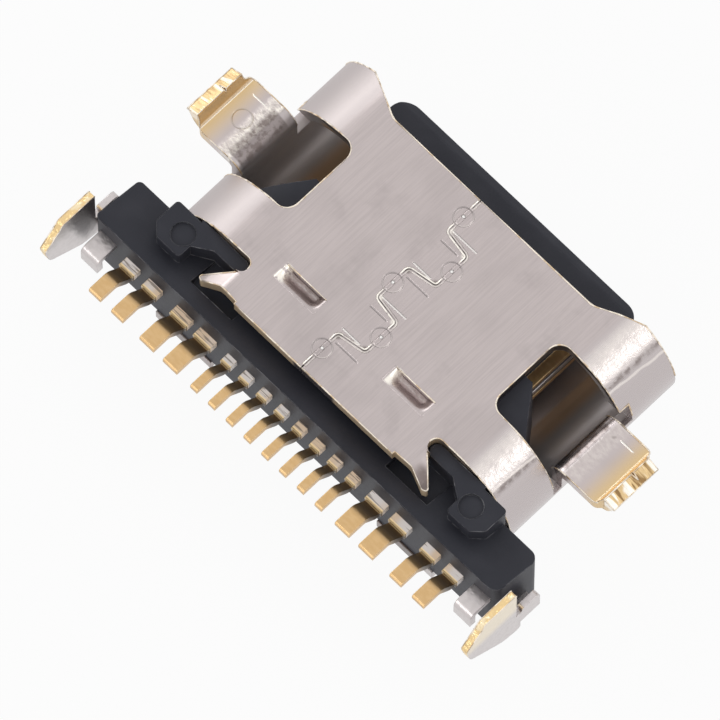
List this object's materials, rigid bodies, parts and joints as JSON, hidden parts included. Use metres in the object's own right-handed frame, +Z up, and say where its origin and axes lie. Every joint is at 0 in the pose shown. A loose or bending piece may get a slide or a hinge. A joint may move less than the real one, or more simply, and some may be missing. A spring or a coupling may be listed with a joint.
{
  "type": "usb-c socket",
  "caption": "Reversible board connector socket: folded steel shell with solder wings over a moulded tongue carrying gold contacts in two facing rows",
  "frame": {"origin": "on the shell's flat outer bottom, below the middle of the top sheet between its front edge and its rear edge, on the plane of symmetry", "axes": "+X along the row of contacts, +Y out of the mouth where the plug enters, +Z up, away from the flat bottom and towards the circuit board"},
  "size_m": [0.012, 0.0076, 0.0032],
  "materials": {
    "shell_metal": "brushed nickel",
    "housing_plastic": "fine satin",
    "insert_plastic": "fine satin",
    "plate_metal": "satin",
    "contact_gold": "gold plate, smooth"
  },
  "bodies": {
    "root": {"shell": "shell_metal", "rear_housing": "housing_plastic", "upper_contact_insert": "insert_plastic", "lower_contact_insert": "insert_plastic", "middle_plate": "plate_metal", "upper_contact_ground_left": "contact_gold", "upper_contact_power_left": "contact_gold", "upper_contact_config": "contact_gold", "upper_contact_data_plus": "contact_gold", "upper_contact_data_minus": "contact_gold", "upper_contact_sideband": "contact_gold", "upper_contact_power_right": "contact_gold", "upper_contact_ground_right": "contact_gold", "lower_contact_ground_left": "contact_gold", "lower_contact_power_left": "contact_gold", "lower_contact_config": "contact_gold", "lower_contact_data_plus": "contact_gold", "lower_contact_data_minus": "contact_gold", "lower_contact_sideband": "contact_gold", "lower_contact_power_right": "contact_gold", "lower_contact_ground_right": "contact_gold"}
  },
  "joints": []
}
